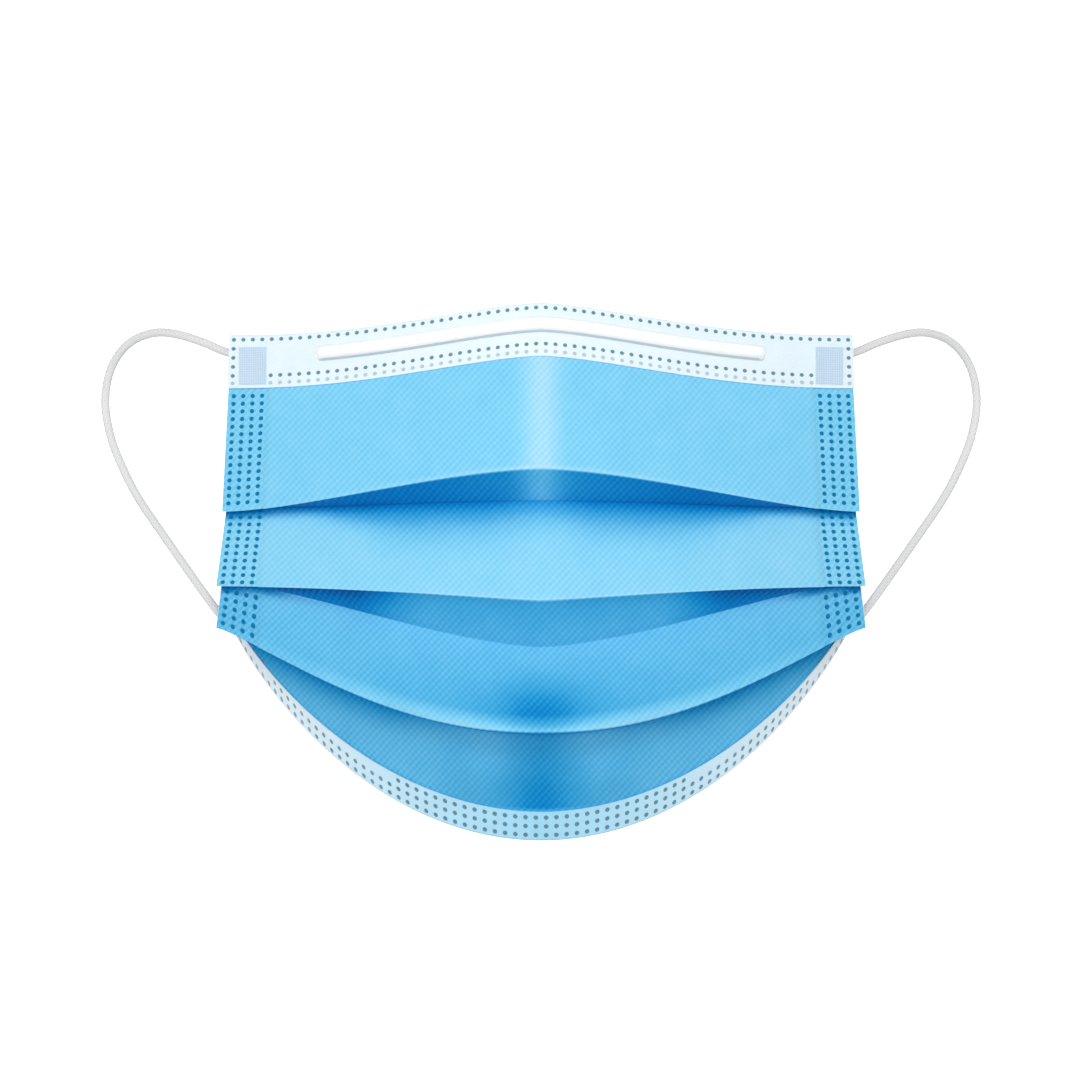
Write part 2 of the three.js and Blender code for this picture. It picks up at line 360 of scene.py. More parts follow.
def linkMesh(name, bm, materials):
    mesh = bpy.data.meshes.new(name)
    bm.to_mesh(mesh)
    bm.free()
    mesh.shade_smooth()
    mesh.set_sharp_from_angle(angle=math.radians(50))
    piece = bpy.data.objects.new(name, mesh)
    bpy.context.scene.collection.objects.link(piece)
    for material in materials:
        mesh.materials.append(material)
    return piece


# Ear loops: the left route, from the hidden upper end to the hidden lower end.
elastic = {
    "diameter": 2.2 * mm,
    "sides": 20,
    "ringStep": 0.3 * mm,
    "ribs": 6,             # knitted ribs round the cord
    "ribHeight": 0.05,     # share of the radius
    "stitch": 1.5 * mm,    # length of a stitch
    "yarnMiddle": 0.6,     # height of the yarns, from -1 to 1, at the cord's own radius
}
loopRoute = [
    (-0.0724, 0.0283, -0.0086),
    (-0.0762, 0.0319, -0.0076),
    (-0.0806, 0.0361, -0.0063),
    (-0.0863, 0.0411, -0.0039),
    (-0.0934, 0.0479, -0.0018),
    (-0.0984, 0.0529, -0.0015),
    (-0.1038, 0.0583, -0.0033),
    (-0.1076, 0.0621, -0.0068),
    (-0.1102, 0.0649, -0.012),
    (-0.1112, 0.0659, -0.0193),
    (-0.1098, 0.0641, -0.0279),
    (-0.1063, 0.0597, -0.0368),
    (-0.1028, 0.0547, -0.0434),
    (-0.0964, 0.0453, -0.0528),
    (-0.0899, 0.0353, -0.062),
    (-0.085, 0.0275, -0.0688),
    (-0.0816, 0.0229, -0.0732),
    (-0.0794, 0.0206, -0.0754),
]


# A smooth curve through the points, sampled at even steps, and its length.
def smoothRoute(points, step):
    parts = 40
    points = [Vector(p) for p in points]
    points = [2 * points[0] - points[1], *points, 2 * points[-1] - points[-2]]
    dense = []
    for index in range(1, len(points) - 2):
        before, start, end, after = points[index - 1:index + 3]
        gaps = [math.sqrt((b - a).length) for a, b in ((before, start), (start, end), (end, after))]
        leave = (start - before) / gaps[0] - (end - before) / (gaps[0] + gaps[1]) + (end - start) / gaps[1]
        arrive = (end - start) / gaps[1] - (after - start) / (gaps[1] + gaps[2]) + (after - end) / gaps[2]
        leave, arrive = leave * gaps[1], arrive * gaps[1]
        for part in range(parts):
            t = part / parts
            dense.append(start + leave * t
                         + (3 * (end - start) - 2 * leave - arrive) * t ** 2
                         + (2 * (start - end) + leave + arrive) * t ** 3)
    dense.append(points[-2])
    reach = np.concatenate([[0], np.cumsum([(b - a).length for a, b in zip(dense, dense[1:])])])
    even = np.linspace(0, reach[-1], max(round(reach[-1] / step), 2) + 1)
    columns = [np.interp(even, reach, [p[axis] for p in dense]) for axis in range(3)]
    return [Vector(p) for p in zip(*columns)], float(reach[-1])


# Frames along a path that don't twist about it.
def pathFrames(path):
    frames = []
    side = Vector((0, 0, 1))
    for index, point in enumerate(path):
        ahead = (path[min(index + 1, len(path) - 1)] - path[max(index - 1, 0)]).normalized()
        side = (side - ahead * side.dot(ahead)).normalized()
        turn = Matrix((side, ahead.cross(side), ahead)).transposed().to_4x4()
        frames.append(Matrix.Translation(point) @ turn)
    return frames


def makeEarLoop(name, mirror):
    path, length = smoothRoute([(mirror * x, y, z) for x, y, z in loopRoute], elastic["ringStep"])
    frames = pathFrames(path)
    sides = elastic["sides"]
    radius = elastic["diameter"] / 2
    bm = bmesh.new()
    corner = bm.verts.layers.float.new("corner")
    ring = bm.verts.layers.float.new("ring")
    valley = bm.verts.layers.float.new("valley")
    first = bmesh.ops.create_circle(bm, cap_ends=False, segments=sides, radius=radius)["verts"]
    for vert in first:
        vert[corner] = round(math.atan2(vert.co.y, vert.co.x) / math.tau * sides) % sides
    edges = list(bm.edges)
    bmesh.ops.edgeloop_fill(bm, edges=edges)
    bmesh.ops.transform(bm, matrix=frames[0], verts=first)
    for index in range(1, len(path)):
        made = bmesh.ops.extrude_edge_only(bm, edges=edges)["geom"]
        verts = [g for g in made if isinstance(g, bmesh.types.BMVert)]
        for vert in verts:
            vert[ring] = index
        bmesh.ops.transform(bm, matrix=frames[index] @ frames[index - 1].inverted(), verts=verts)
        known = set(verts)
        edges = [g for g in made if isinstance(g, bmesh.types.BMEdge) and set(g.verts) <= known]
    bmesh.ops.edgeloop_fill(bm, edges=edges)
    for vert in bm.verts:
        index = round(vert[ring])
        along = index * elastic["ringStep"] / elastic["stitch"]
        angle = vert[corner] / sides
        # two sets of slanting yarns, one over the other, make the knit
        rib = math.sin(math.tau * (angle * elastic["ribs"] + along))
        cross = math.sin(math.tau * (angle * elastic["ribs"] - along))
        height = max(rib, cross) - elastic["yarnMiddle"]
        vert.co += (vert.co - path[index]) * elastic["ribHeight"] * height
        # how deep the point lies between the yarns, for their painted shade
        vert[valley] = max(-height, 0) / (1 + elastic["yarnMiddle"])
    flat = bm.loops.layers.uv.new("flat")
    for face in bm.faces:
        corners = [loop.vert[corner] for loop in face.loops]
        wraps = max(corners) - min(corners) > sides / 2
        for loop, place in zip(face.loops, corners):
            place = place + sides if wraps and place < sides / 2 else place
            loop[flat].uv = (place / sides * math.tau * radius, loop.vert[ring] * elastic["ringStep"])
    bmesh.ops.recalc_face_normals(bm, faces=bm.faces[:])
    piece = linkMesh(name + "_knit", bm, [loopGrey])
    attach(piece, "root")
    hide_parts(name)
    return length


for loopName, mirror in (("ear_loop_left", 1), ("ear_loop_right", -1)):
    loopLength = makeEarLoop(loopName, mirror)
print("ear loops made, each", round(loopLength / mm), "mm long")

# The mask's shape, in millimetres.
maskShape = {
    "halfWidth": 82.5,
    "flatHalfWidth": 87.5,
    "centreHeight": 135.8,
    "sideHeight": 74.3,
    "topRise": 8.1,
    "seatDrop": 5.8,
    "frontDepth": 22,
    "sideSweep": 29,
    "sideLean": 15,
    "layerPitch": 0.7,       # from one pressed layer to the next at the side
    "foldTurn": 0.5,
    "seatReach": 1.8,        # from the nose seat to the sheet, square to it
    "topHem": 13.5,
    "bottomHem": 6.9,
    "wall": 0.4,
    "lineGive": 0.3,         # share of a dent that is left at the lines of its panel
}
# Its crosswise lines, from top to bottom.
# centre, side: drop below the top edge, as shares of centreHeight and sideHeight; hang: added to it
# bow, ease: how the line bends from centre to side
# out: distance in front, as a share of frontDepth; curl: how it bends back; width: share of halfWidth
# layers: pressed layers in front of it at the side; turn: layers that the sheet moves back at this line
# crown: bulge of the panel below; rows: even steps down that panel, or shares: the steps themselves
# firstRow: place of the first row of dots in its side bands, in steps, where it has such rows
maskLines = [
    dict(name="top edge", centre=0, side=0, hang=0, bow=1.45, ease=2.5,
         out=0, curl=1.55, width=0.958, layers=0, turn=0, crown=0, shares=(0.12, 0.5)),
    dict(name="top hem", centre=0, side=0, hang=13.5, bow=1.5, ease=2.5,
         out=0.19, curl=1.6, width=0.963, layers=0, turn=0, crown=0.07, rows=16, firstRow=1),
    dict(name="fold 1", centre=0.308, side=0.602, hang=0, bow=1.6, ease=1.6,
         out=0.66, curl=1.75, width=0.982, layers=0, turn=1, crown=0, rows=3),
    dict(name="valley 1", centre=0.366, side=0.585, hang=0, bow=2, ease=3,
         out=0.33, curl=1.75, width=0.968, layers=1, turn=1, crown=0.09, rows=11, firstRow=0.5),
    dict(name="fold 2", centre=0.554, side=0.857, hang=0, bow=1.2, ease=2,
         out=0.91, curl=1.85, width=1, layers=2, turn=1, crown=0, rows=4),
    dict(name="valley 2", centre=0.639, side=0.843, hang=0, bow=1.55, ease=1.5,
         out=0.62, curl=1.85, width=0.981, layers=3, turn=1, crown=0.08, rows=6, firstRow=1.2),
    dict(name="fold 3", centre=0.8, side=1, hang=0, bow=2.1, ease=1.25,
         out=1, curl=1.9, width=1, layers=4, turn=1, crown=0, rows=2),
    dict(name="valley 3", centre=0.788, side=0.837, hang=0, bow=2.1, ease=1.25,
         out=0.66, curl=1.9, width=0.985, layers=5, turn=3, crown=0.06, rows=24),
    dict(name="bottom hem", centre=1, side=0.875, hang=-6.9, bow=1.95, ease=0.78,
         out=0.3, curl=1.9, width=0.98, layers=9, turn=0, crown=0, shares=(0, 0.4, 0.8)),
    dict(name="bottom edge", centre=1.003, side=0.918, hang=0, bow=2, ease=0.79,
         out=0.16, curl=1.9, width=0.975, layers=11, turn=0, crown=0),
]
lastPanel = len(maskLines) - 2
# Soft dents of a panel: where, how wide, and how many millimetres back; a swelling is negative.
# A place across stands for both sides of the mask.
softDents = [
    dict(panel="valley 2", across=0, share=0.75, width=0.09, height=0.4, back=1.3),
    dict(panel="valley 2", across=0.34, share=0.6, width=0.2, height=0.4, back=-0.7),
    dict(panel="valley 3", across=0, share=0.7, width=0.12, height=0.5, back=1.4),
    dict(panel="valley 3", across=0.2, share=0.55, width=0.1, height=0.35, back=-1.1),
]


def smoothStep(value):
    value = np.clip(value, 0, 1)
    return value * value * (3 - 2 * value)


def mix(start, end, share):
    return start + (end - start) * share


# Points of a line at stations across the mask, from -1 at its left side to 1 at its right.
def linePoints(line, across, isAfterTurn):
    shape = maskShape
    reach = np.abs(across)
    bend = 1 - (1 - np.minimum(reach, 1) ** line["bow"]) ** line["ease"]
    turned = 1 if isAfterTurn else 0
    openTurn = turned * min(line["turn"], 1) * shape["foldTurn"]
    centreDrop = line["centre"] * shape["centreHeight"] + line["hang"] + openTurn
    sideDrop = line["side"] * shape["sideHeight"] + max(line["hang"], 0)
    centreBack = openTurn - line["out"] * shape["frontDepth"]
    layers = line["layers"] + turned * line["turn"]
    sideBack = shape["sideSweep"] - shape["sideLean"] * sideDrop / shape["sideHeight"]
    sideBack += shape["layerPitch"] * layers
    seatSlope = maskLines[1]["out"] * shape["frontDepth"] / shape["topHem"]
    seatShift = seatSlope * shape["seatDrop"] - shape["seatReach"] * math.hypot(1, seatSlope)
    return np.stack([
        shape["halfWidth"] * line["width"] * across,
        mix(centreBack, sideBack, reach ** line["curl"]) + seatShift,
        shape["seatDrop"] - mix(centreDrop, shape["topRise"] + sideDrop, bend),
    ], axis=-1)


# How strongly a soft spot works at stations across its panel, at a share of the way down.
def spotStrength(spot, across, share):
    strength = 0
    for middle in {-spot["across"], spot["across"]}:
        away = ((across - middle) / spot["width"]) ** 2
        away += ((share - spot["share"]) / spot["height"]) ** 2
        strength = strength + np.exp(-away)
    return strength


# Points of the panel below a line, at a share of the way to the next line.
def panelPoints(index, share, across):
    upper = maskLines[index]
    start = linePoints(upper, across, upper["turn"] > 0)
    end = linePoints(maskLines[index + 1], across, False)
    share = np.broadcast_to(share, across.shape)
    points = mix(start, end, share[:, None])
    inside = 4 * share * (1 - share)
    points[:, 1] -= inside * (1 - across ** 2) * upper["crown"] * maskShape["frontDepth"]
    for dent in softDents:
        if dent["panel"] == upper["name"]:
            held = np.minimum(inside + maskShape["lineGive"], 1)
            points[:, 1] += dent["back"] * spotStrength(dent, across, share) * held
    return points


# How light the blue is in the panel below a line, as painted shade: tones at its top and foot, dark in the
# under-folds where shade falls, and a painted shadow under the fold above: amount, reach in millimetres and
# power of the fade, each in the middle and at the side, with the change between them from one share of the
# half width to another.
noShadow = dict(amount=(0, 0), reach=(1, 1), power=(1, 1), turn=(0.2, 0.7))
paintedPanelShade = {
    "top edge": dict(tones=(0.75, 0.75)),
    "top hem": dict(tones=(0.75, 0.75)),
    "fold 1": dict(tones=(0.16, 0.16)),
    "valley 1": dict(tones=(0.8, 0.8), shadow=dict(
        amount=(0.68, 0.7), reach=(5.8, 2), power=(1.4, 2), turn=(0.4, 0.78))),
    "fold 2": dict(tones=(0.41, 0.54), shadow=dict(
        amount=(0, 0.42), reach=(20, 20), power=(1, 1), turn=(0.34, 0.6))),
    "valley 2": dict(tones=(0.64, 0.6), shadow=dict(
        amount=(0, 0.6), reach=(1.3, 1.3), power=(3, 3), turn=(0.76, 0.88))),
    "fold 3": dict(tones=(0.05, 0.05)),
    "valley 3": dict(tones=(0.6, 0.58), shadow=dict(
        amount=(0.08, 0.42), reach=(1.3, 3.8), power=(1.4, 1.4), turn=(0.15, 0.55))),
    "bottom hem": dict(tones=(0.5, 0.5)),
}
# Painted highlights and painted shade on a panel, placed like the dents: a highlight down the middle of the
# upper panels, light rims along the fold edges, and shade in and round the dents of the lower panels.
paintedHighlightsAndShade = [
    dict(panel="top hem", across=0, share=0.5, width=0.055, height=9, add=0.2),
    dict(panel="top hem", across=0, share=1, width=0.7, height=0.006, add=0.14),
    dict(panel="fold 1", across=0, share=0.5, width=0.3, height=9, add=0.12),
    dict(panel="fold 1", across=0, share=0.5, width=0.065, height=9, add=0.3),
    dict(panel="valley 1", across=0, share=0, width=0.12, height=0.4, add=0.17),
    dict(panel="valley 1", across=0, share=1, width=0.7, height=0.01, add=0.14),
    dict(panel="valley 2", across=0, share=0.85, width=0.13, height=0.4, add=-0.3),
    dict(panel="valley 2", across=0, share=0.8, width=0.5, height=0.5, add=-0.13),
    dict(panel="valley 2", across=0, share=1, width=0.6, height=0.1, add=0.46),
    dict(panel="valley 3", across=0, share=0.5, width=0.11, height=9, add=-0.22),
    dict(panel="valley 3", across=0, share=1, width=0.22, height=0.5, add=-0.15),
    dict(panel="valley 3", across=0.27, share=0.4, width=0.06, height=0.4, add=-0.05),
]


# The painted tone of the panel below a line: its tones, less the painted shadow under the fold above, with
# its painted highlights and shade added.
def paintedPanelTone(index, share, across, height):
    name = maskLines[index]["name"]
    look = paintedPanelShade[name]
    tone = np.full(across.shape, mix(*look["tones"], share))
    shadow = look.get("shadow", noShadow)
    if index > 0:
        edges = [linePoints(maskLines[place], across, False)[:, 2] for place in (index - 1, index)]
        below = np.maximum(np.minimum(*edges) - height, 0)
        start, end = shadow["turn"]
        sideways = smoothStep((np.abs(across) - start) / (end - start))
        fade = np.exp(-(below / mix(*shadow["reach"], sideways)) ** mix(*shadow["power"], sideways))
        tone -= mix(*shadow["amount"], sideways) * fade
    for spot in paintedHighlightsAndShade:
        if spot["panel"] == name:
            tone += spot["add"] * spotStrength(spot, across, share)
    return np.clip(tone, 0, 1)


# Normals of a grid of points, mitred where the sheet folds, so that a wall keeps its thickness.
def mitredNormals(grid):
    sharpest = 0.4
    down = grid[1:] - grid[:-1]
    right = np.gradient(grid, axis=1)
    cross = np.cross(down, (right[1:] + right[:-1]) / 2)
    cross /= np.linalg.norm(cross, axis=-1, keepdims=True)
    above = np.concatenate([cross[:1], cross])
    below = np.concatenate([cross, cross[-1:]])
    dot = np.sum(above * below, axis=-1, keepdims=True)
    return (above + below) / np.maximum(1 + dot, sharpest)


# A flat grid of cells one unit wide, whose verts are (column, -row, height in millimetres).
def patternGrid(columns, rows):
    bm = bmesh.new()
    bm.verts.layers.float.new("pressed")
    bmesh.ops.create_grid(bm, x_segments=columns - 1, y_segments=rows - 1, size=0.5)
    bmesh.ops.scale(bm, vec=(columns - 1, rows - 1, 1), verts=bm.verts[:])
    bmesh.ops.translate(bm, vec=((columns - 1) / 2, -(rows - 1) / 2, 0), verts=bm.verts[:])
    return bm


# A pressed dot in its cell of the pattern, which is one unit wide.
dotShape = {"margin": 0.12, "radius": 0.47, "rim": 0.1}


# Presses a round dimple into each cell of the pattern where howDeep gives more than nothing.
def pressDots(bm, howDeep, depth):
    layer = bm.verts.layers.float["pressed"]
    cells = {}
    for face in bm.faces:
        centre = face.calc_center_median()
        strength = howDeep(int(centre.x), int(-centre.y))
        if strength > 0:
            cells.setdefault(strength, []).append(face)
    for strength, faces in cells.items():
        bmesh.ops.inset_individual(bm, faces=faces, thickness=dotShape["margin"], use_even_offset=True)
        for edge in {edge for face in faces for edge in face.edges}:
            bmesh.utils.edge_split(edge, edge.verts[0], 0.5)
        for face in faces:
            centre = face.calc_center_bounds()
            for vert in face.verts:
                vert.co = centre + (vert.co - centre).normalized() * dotShape["radius"]
        bmesh.ops.inset_individual(bm, faces=faces, thickness=dotShape["rim"], use_even_offset=True)
        verts = list({vert for face in faces for vert in face.verts})
        bmesh.ops.translate(bm, vec=(0, 0, -depth * strength), verts=verts)
        for vert in verts:
            vert[layer] = strength


# Makes a pattern into a wall, half above and half below, whose lower face has its own material.
def giveWall(bm, thickness):
    upper = set(bm.faces)
    bmesh.ops.solidify(bm, geom=bm.faces[:], thickness=thickness)
    for face in bm.faces:
        if face not in upper and face.normal.z < -0.2:
            face.material_index = 1
    bmesh.ops.translate(bm, vec=(0, 0, thickness / 2), verts=bm.verts[:])


# Values of a grid at fractional columns and rows.
def sampleGrid(grid, columns, rows):
    grid = np.asarray(grid, dtype=float)
    columns = np.clip(columns, 0, grid.shape[1] - 1)
    rows = np.clip(rows, 0, grid.shape[0] - 1)
    left = np.minimum(columns.astype(int), grid.shape[1] - 2)
    top = np.minimum(rows.astype(int), grid.shape[0] - 2)
    x, y = columns - left, rows - top
    if grid.ndim == 3:
        x, y = x[:, None], y[:, None]
    return mix(mix(grid[top, left], grid[top, left + 1], x),
               mix(grid[top + 1, left], grid[top + 1, left + 1], x), y)


# Turns the faces of a closed wall outward; the operator alone can turn a thin curled wall inside out.
def faceOutward(bm):
    bmesh.ops.recalc_face_normals(bm, faces=bm.faces[:])
    if bm.calc_volume(signed=True) < 0:
        bmesh.ops.reverse_faces(bm, faces=bm.faces[:])


# Carries a pattern onto a grid of places and normals, with its flat size as the UV map.
def foldPattern(bm, places, normals, flatSize, **marks):
    spots = np.array([vert.co for vert in bm.verts])
    columns, rows, heights = spots[:, 0], -spots[:, 1], spots[:, 2]
    moved = sampleGrid(places, columns, rows) + sampleGrid(normals, columns, rows) * heights[:, None]
    for vert, place in zip(bm.verts, moved * mm):
        vert.co = place
    for name, values in marks.items():
        layer = bm.verts.layers.float.new(name)
        for vert, value in zip(bm.verts, sampleGrid(values, columns, rows)):
            vert[layer] = value
    flat = bm.loops.layers.uv.new("flat")
    bm.verts.index_update()
    flats = sampleGrid(flatSize, columns, rows) * mm
    for face in bm.faces:
        for loop in face.loops:
            loop[flat].uv = flats[loop.vert.index]
    faceOutward(bm)


# The flat size of a grid: across the cloth, and down it as the front shows it.
def flatGrid(across, downs):
    across = np.broadcast_to(across, downs.shape)
    return np.stack([across * maskShape["flatHalfWidth"], downs], axis=-1)


# The sheet's pressed side bands, as shares of the half width, and its middle.
sideBand = {
    "firstDot": 0.018,
    "dotPitch": 0.0302,
    "dotWidth": 0.0176,
    "columns": 4,
    "dotShare": 0.7,        # of the pitch from row to row
    "lastRoom": 0.4,        # least room below the last row, in steps
    "innerEdge": 0.1275,
    "edgeWidth": 0.002,
    "press": 0.1,           # millimetres, at the front and at the back
    "dotDepth": 0.14,
    "darker": 0.02,
    "middleCells": 92,
}


def sheetStations(band):
    half = [1.0]
    dots = []
    for column in range(band["columns"]):
        centre = 1 - band["firstDot"] - column * band["dotPitch"]
        dots.append(len(half))
        half += [centre + band["dotWidth"] / 2, centre - band["dotWidth"] / 2]
    half += [1 - band["innerEdge"], 1 - band["innerEdge"] - band["edgeWidth"]]
    middle = np.linspace(-half[-1], half[-1], band["middleCells"] + 1)
    stations = np.concatenate([-np.array(half), middle[1:-1], np.array(half)[::-1]])
    last = len(stations) - 2
    return stations, set(dots) | {last - dot for dot in dots}


# Fine uneven waves of the cloth. Each has its share, how close it is across, down and in depth, and
# where it is taken from the noise.
clothWaves = {
    "height": 0.5,
    "waves": ((1, (0.045, 0.09, 0.03), 3), (0.5, (0.11, 0.16, 0.05), 9)),
    "bandFade": 0.2,       # share of the half width over which they grow beside a pressed band
    "hemFade": 0.25,       # share of a panel over which they grow beside a hem
}


# Waves the cloth, but not at its pressed bands and its hems.
def wrinkle(places, across, freedom):
    sideways = smoothStep((1 - sideBand["innerEdge"] - np.abs(across)) / clothWaves["bandFade"])
    for row, free in zip(places, freedom):
        for point, share in zip(row, sideways * free):
            x, y, z = point
            wave = sum(amount * noise.noise(Vector((x * close[0], z * close[1], y * close[2] + start)))
                       for amount, close, start in clothWaves["waves"])
            point[1] += clothWaves["height"] * wave * share


# How freely the cloth waves in a panel: not at all in the hems, and more and more away from them.
def hemFreedom(index, share):
    if index in (0, lastPanel):
        return 0
    fromHem = share if index == 1 else 1 - share if index == lastPanel - 1 else 1
    return smoothStep(fromHem / clothWaves["hemFade"])


def makeMaskSheet(band):
    across, dotColumns = sheetStations(band)
    places, tones, freedom, dotRows = [], [], [], set()
    for index in range(lastPanel + 1):
        line = maskLines[index]
        if line["turn"] > 0:
            turning = linePoints(line, across, False)
            places.append(turning)
            freedom.append(1)
            tones.append(paintedPanelTone(index - 1, 1, across, turning[:, 2]))
        if "shares" in line:
            shares = line["shares"]
        elif "firstRow" in line:
            shares = [0]
            rows = [line["firstRow"] + row for row in range(line["rows"])]
            for middle in [row for row in rows if row + band["lastRoom"] < line["rows"]]:
                dotRows.add(len(places) + len(shares))
                shares += [(middle + side * band["dotShare"] / 2) / line["rows"] for side in (-1, 1)]
        else:
            shares = [row / line["rows"] for row in range(line["rows"])]
        for share in shares:
            points = panelPoints(index, share, across)
            places.append(points)
            freedom.append(hemFreedom(index, share))
            tones.append(paintedPanelTone(index, share, across, points[:, 2]))
    places = np.array(places)
    wrinkle(places, across, freedom)
    normals = mitredNormals(places)
    rows, columns = places.shape[:2]
    pressedBand = np.abs(across) - 1 + band["innerEdge"] + band["edgeWidth"]
    pressedBand = smoothStep(pressedBand / band["edgeWidth"])
    bm = patternGrid(columns, rows)
    pressDots(bm, lambda column, row: int(column in dotColumns and row in dotRows), band["dotDepth"])
    giveWall(bm, maskShape["wall"])
    for vert in bm.verts:
        press = band["press"] * np.interp(vert.co.x, range(columns), pressedBand)
        vert.co.z -= press if vert.co.z > 0 else -press
    # the tone mark carries the panels' painted shade, shadows and highlights, a little darker on the pressed
    # bands
    foldPattern(bm, places, normals, flatGrid(across, -places[..., 2]),
                tone=np.array(tones) * (1 - band["darker"] * pressedBand))
    piece = linkMesh("mask_sheet_cloth", bm, [sheetBlue, liningWhite])
    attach(piece, "root")
    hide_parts("mask_sheet")


makeMaskSheet(sideBand)
print("mask sheet made")

# A binding is a strip of cloth folded over an edge of the sheet. Its rows of dots are measured
# from that edge; a row's strength is how deep it is pressed.
topBinding = {
    "node": "top_binding",
    "panel": 0,
    "leg": 13.5,
    "dots": 66,
    "dotShare": 0.55,                    # of the pitch from dot to dot
    "dotHeight": 1.2,
    "rows": {1.2: 1, 3.5: 1, 5.8: 1, 8.1: 1, 10.4: 1, 12.3: 0.5},
    "endRows": (3.5, 5.8, 8.1),          # pressed at the two ends only
    "clearRows": (10.4, 12.3),           # left out beside the weld pads
    "clearColumns": (1, 2, 3),
    "tones": ((0, 1), (0.18, 0.2)),
}
bottomBinding = {
    "node": "bottom_binding",
    "panel": lastPanel,
    "leg": 7.5,
    "dots": 82,
    "dotShare": 0.56,
    "dotHeight": 1.45,
    "rows": {1.4: 1, 3.7: 1, 6.0: 1},
    "endRows": (),
    "clearRows": (),
    "clearColumns": (),
    # painted light and shade: light blue in the middle, whiter toward the ends to offset the shade on them
    "tones": ((0, 0.3, 0.5, 0.8, 1), (0.75, 0.6, 0.45, 0.2, 0.1)),
}


# Stations across an edge with two for each dot, evenly spaced along the edge itself.
def dotStations(edge, dots, dotShare):
    across = np.linspace(-1, 1, 400)
    points = linePoints(edge, across, False)
    points[:, 1] = 0
    length = np.concatenate([[0], np.cumsum(np.linalg.norm(np.diff(points, axis=0), axis=1))])
    pitch = length[-1] / dots
    middles = (np.arange(dots) + 0.5) * pitch
    starts, ends = middles - dotShare * pitch / 2, middles + dotShare * pitch / 2
    places = np.concatenate([[0], np.stack([starts, ends], axis=1).ravel(), [length[-1]]])
    return np.interp(places, length, across)


# How far from the edge the rows of dots keep their spacing where the hem is narrow; beyond it they
# crowd. At least one row keeps it.
def rowLimit(width, leg):
    margin, leastLimit = 0.9, 2
    return np.clip(width - margin, leastLimit, leg - margin)


# What both bindings share, with lengths in millimetres.
bindingBuild = {
    "reach": 0.45,         # from the sheet's middle to the binding's
    "wall": 0.3,
    "dotDepth": 0.12,
    "turnSteps": 6,        # steps round the edge
    "slopeStep": 0.3,
    "rowSlack": 0.3,       # how far a dot may stand past the limit of its rows
    "paler": 0.4,          # how much paler the dots get toward the ends
}


def makeBinding(binding):
    build = bindingBuild
    index, leg, reach = binding["panel"], binding["leg"], build["reach"]
    isTop = index == 0
    edge = maskLines[0 if isTop else -1]
    across = dotStations(edge, binding["dots"], binding["dotShare"])
    width = np.linalg.norm(linePoints(maskLines[index], across, False)
                           - linePoints(maskLines[index + 1], across, False), axis=1)
    width = np.full(across.shape, leg) if isTop else np.minimum(width, leg)
    limit = rowLimit(width, leg)

    # the sheet's place at a distance from the edge
    def at(distance):
        crowded = limit + (distance - limit) * (width - limit) / (leg - limit)
        share = np.where(distance <= limit, distance, crowded) / width
        return panelPoints(index, share if isTop else 1 - share, across)

    half = binding["dotHeight"] / 2
    downs = [reach] + [row + side * half for row in binding["rows"] for side in (-1, 1)]
    downs = [down for down in downs if down < leg] + [leg]
    cellRows = {len(downs) - 3 - 2 * place: row for place, row in enumerate(binding["rows"])}
    section = [(down, reach, 0, 1) for down in reversed(downs)]
    for step in range(1, build["turnSteps"]):
        angle = math.pi * step / build["turnSteps"]
        rise, out = math.sin(angle), math.cos(angle)
        section.append((reach - reach * rise, reach * out, -rise, out))
    section += [(down, -reach, 0, -1) for down in downs]
    places, normals = [], []
    for down, out, alongNormal, outNormal in section:
        here = at(down)
        along = at(down + build["slopeStep"]) - at(down - build["slopeStep"])
        along /= np.linalg.norm(along, axis=1, keepdims=True)
        facing = np.cross(along, np.gradient(here, axis=0)) * (1 if isTop else -1)
        facing /= np.linalg.norm(facing, axis=1, keepdims=True)
        places.append(here + facing * out)
        normals.append(along * alongNormal + facing * outNormal)
    places, normals = np.array(places), np.array(normals)
    rows, columns = places.shape[:2]

    def howDeep(column, row):
        if column % 2 == 0 or row not in cellRows:
            return 0
        distance = cellRows[row]
        fromEnd = min(column, columns - 2 - column) // 2
        if distance in binding["endRows"] and fromEnd > 0:
            return 0
        if distance in binding["clearRows"] and fromEnd in binding["clearColumns"]:
            return 0
        strength = 1 if isTop else round(1 - build["paler"] * abs(across[column]) ** 3, 1)
        fits = distance + half <= limit[column] + build["rowSlack"]
        return binding["rows"][distance] * strength if fits else 0

    bm = patternGrid(columns, rows)
    pressDots(bm, howDeep, build["dotDepth"])
    giveWall(bm, build["wall"])
    downs = np.array([down if out > 0 else -down for down, out, _, _ in section])
    tone = np.interp(np.abs(across), *binding["tones"])
    foldPattern(bm, places, normals, flatGrid(across, np.broadcast_to(downs[:, None], (rows, columns))),
                tone=np.broadcast_to(tone, (rows, columns)))
    piece = linkMesh(binding["node"] + "_cloth", bm, [bindingWhite, bindingWhite])
    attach(piece, "root")
    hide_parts(binding["node"])


makeBinding(topBinding)
makeBinding(bottomBinding)
print("bindings made")


# A grid on the face of the top hem: across in millimetres, drops below the top edge, and how far in
# front of the sheet's middle, or behind it if negative.
def topHemGrid(xs, drops, out):
    slopeShare = 0.04
    places, normals = [], []
    for drop in drops:
        share = drop / maskShape["topHem"]
        across = xs / (maskShape["halfWidth"] * mix(maskLines[0]["width"], maskLines[1]["width"], share))
        here = panelPoints(0, share, across)
        facing = np.cross(panelPoints(0, share + slopeShare, across) - here, np.gradient(here, axis=0))
        facing *= np.sign(out) / np.linalg.norm(facing, axis=1, keepdims=True)
        places.append(here + facing * abs(out))
        normals.append(facing)
    return np.array(places), np.array(normals)


